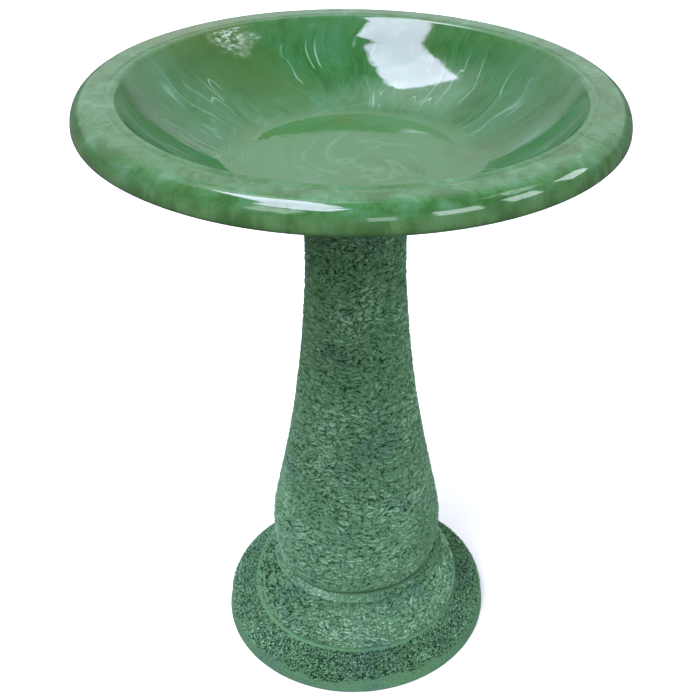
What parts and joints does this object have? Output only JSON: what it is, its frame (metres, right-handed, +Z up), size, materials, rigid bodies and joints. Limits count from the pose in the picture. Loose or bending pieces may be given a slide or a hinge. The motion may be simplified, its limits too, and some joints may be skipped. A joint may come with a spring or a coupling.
{
  "type": "bird bath",
  "caption": "Free-standing pedestal bird bath: a wide shallow glazed bowl with a rolled rim, twist-locked onto a textured, bell-shaped column on a stepped round base.",
  "frame": {"origin": "on the ground, at the middle of the base's footprint", "axes": "+Z up along the common axis of base, column and bowl; the object is round, and a picture taken along +Y shows it from the front"},
  "size_m": [0.48, 0.48, 0.61],
  "materials": {
    "glazed_shell": "high-gloss marbled glaze in mid green, blue-green, pale grey-green and olive",
    "textured_stoneware": "matt hammered and bark-like relief, teal-green in the hollows and lighter on the high points",
    "moulded_plastic": "moulded, lightly textured",
    "nylon": "smooth natural nylon",
    "steel": "plain stainless",
    "brass": "turned",
    "rubber": "matt"
  },
  "bodies": {
    "pedestal": {"base": "textured_stoneware", "rubber_feet": "rubber", "column": "textured_stoneware", "foot_bolts": "steel", "foot_washers": "steel", "foot_inserts": "brass", "lock_ring": "moulded_plastic", "lock_ring_screws": "steel", "lock_ring_inserts": "brass"},
    "turntable": {"seat_ring": "nylon"},
    "basin": {"bowl": "glazed_shell", "lock_spigot": "moulded_plastic", "spigot_screws": "steel", "spigot_inserts": "brass"}
  },
  "joints": [
    {"name": "bowl_turn", "type": "hinge", "parent": "pedestal", "child": "turntable", "pos_m": [0, 0, 0.5195], "axis": [0, 0, 1], "range_deg": [0, 40]},
    {"name": "bowl_lift", "type": "slide", "parent": "turntable", "child": "basin", "axis": [0, 0, 1], "range_m": [0, 0.08]}
  ]
}
